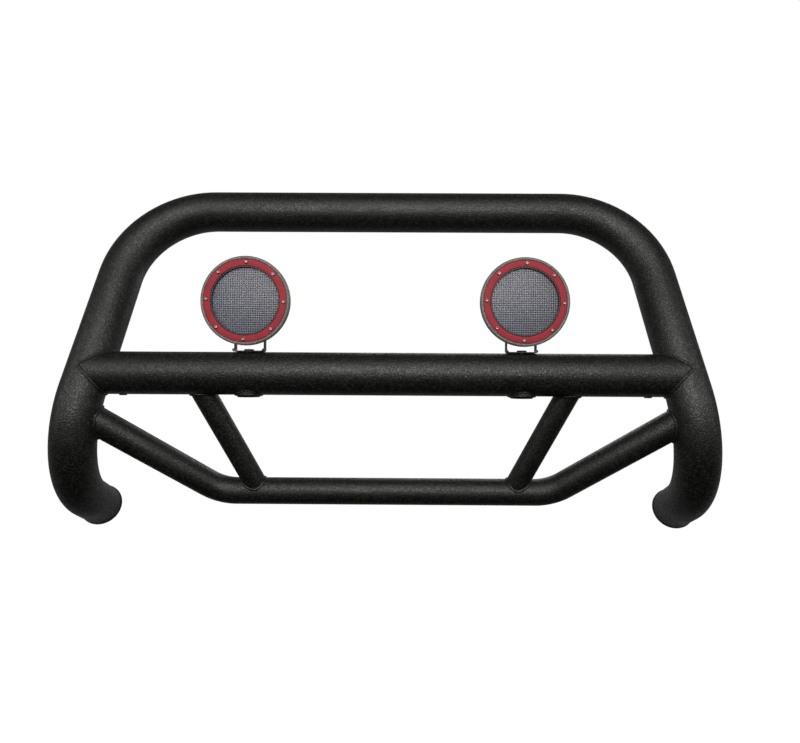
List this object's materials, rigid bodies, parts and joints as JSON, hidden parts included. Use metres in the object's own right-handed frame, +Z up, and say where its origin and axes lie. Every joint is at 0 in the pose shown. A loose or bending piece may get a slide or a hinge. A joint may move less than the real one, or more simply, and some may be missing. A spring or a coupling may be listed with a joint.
{
  "type": "front grille guard",
  "caption": "Tubular front grille guard with a bent hoop, crossbar, lower bar and struts, carrying round LED lights on brackets that pan and tilt.",
  "frame": {"origin": "centre of the bounding box in plan, at the height of its lowest point, which is the lower edge of the leg plates", "axes": "+X to the right seen from the front, along the crossbar; +Y back towards the vehicle, so the lights face -Y; +Z up"},
  "size_m": [1.2244, 0.2624, 0.67],
  "materials": {
    "powder_coat": "coarse textured black powder coat with a fine sparkle",
    "bracket_black": "smooth satin black",
    "cast_grey": "satin grey paint on die cast aluminium",
    "bezel_black": "moulded black plastic",
    "red_trim": "satin red",
    "lens_glass": "clear moulded lens with a fine square grid",
    "reflector_chrome": "metallised reflector",
    "led_board": "white solder mask",
    "bright_screw": "bright stainless",
    "black_bolt": "black oxide",
    "rubber": "matt black"
  },
  "bodies": {
    "frame": {"main_hoop": "powder_coat", "cross_tube": "powder_coat", "lower_tube": "powder_coat", "left_strut": "powder_coat", "left_leg_cap": "powder_coat", "left_leg_plate": "powder_coat", "left_wire_grommet": "rubber", "left_light_bush": "powder_coat", "left_pan_bolt": "black_bolt", "right_strut": "powder_coat", "right_leg_cap": "powder_coat", "right_leg_plate": "powder_coat", "right_wire_grommet": "rubber", "right_light_bush": "powder_coat", "right_pan_bolt": "black_bolt"},
    "left_bracket": {"left_light_bracket": "bracket_black"},
    "left_light": {"left_outer_tilt_bolt": "black_bolt", "left_inner_tilt_bolt": "black_bolt", "left_light_housing": "cast_grey", "left_cable_gland": "rubber", "left_led_board": "led_board", "left_reflector": "reflector_chrome", "left_lens_gasket": "rubber", "left_lens": "lens_glass", "left_inner_bezel": "bezel_black", "left_trim_ring": "red_trim", "left_trim_screw_1": "bright_screw", "left_trim_screw_2": "bright_screw", "left_trim_screw_3": "bright_screw", "left_trim_screw_4": "bright_screw", "left_trim_screw_5": "bright_screw", "left_trim_screw_6": "bright_screw", "left_trim_screw_7": "bright_screw", "left_trim_screw_8": "bright_screw"},
    "right_bracket": {"right_light_bracket": "bracket_black"},
    "right_light": {"right_outer_tilt_bolt": "black_bolt", "right_inner_tilt_bolt": "black_bolt", "right_light_housing": "cast_grey", "right_cable_gland": "rubber", "right_led_board": "led_board", "right_reflector": "reflector_chrome", "right_lens_gasket": "rubber", "right_lens": "lens_glass", "right_inner_bezel": "bezel_black", "right_trim_ring": "red_trim", "right_trim_screw_1": "bright_screw", "right_trim_screw_2": "bright_screw", "right_trim_screw_3": "bright_screw", "right_trim_screw_4": "bright_screw", "right_trim_screw_5": "bright_screw", "right_trim_screw_6": "bright_screw", "right_trim_screw_7": "bright_screw", "right_trim_screw_8": "bright_screw"}
  },
  "joints": [
    {"name": "left_light_pan", "type": "hinge", "parent": "frame", "child": "left_bracket", "pos_m": [-0.242, -0.07297, 0.34851], "axis": [0, 0, 1], "range_deg": [-45, 45]},
    {"name": "left_light_tilt", "type": "hinge", "parent": "left_bracket", "child": "left_light", "pos_m": [-0.242, -0.06497, 0.3961], "axis": [-1, 0, 0], "range_deg": [-12, 30]},
    {"name": "right_light_pan", "type": "hinge", "parent": "frame", "child": "right_bracket", "pos_m": [0.242, -0.07297, 0.34851], "axis": [0, 0, 1], "range_deg": [-45, 45]},
    {"name": "right_light_tilt", "type": "hinge", "parent": "right_bracket", "child": "right_light", "pos_m": [0.242, -0.06497, 0.3961], "axis": [-1, 0, 0], "range_deg": [-12, 30]}
  ]
}
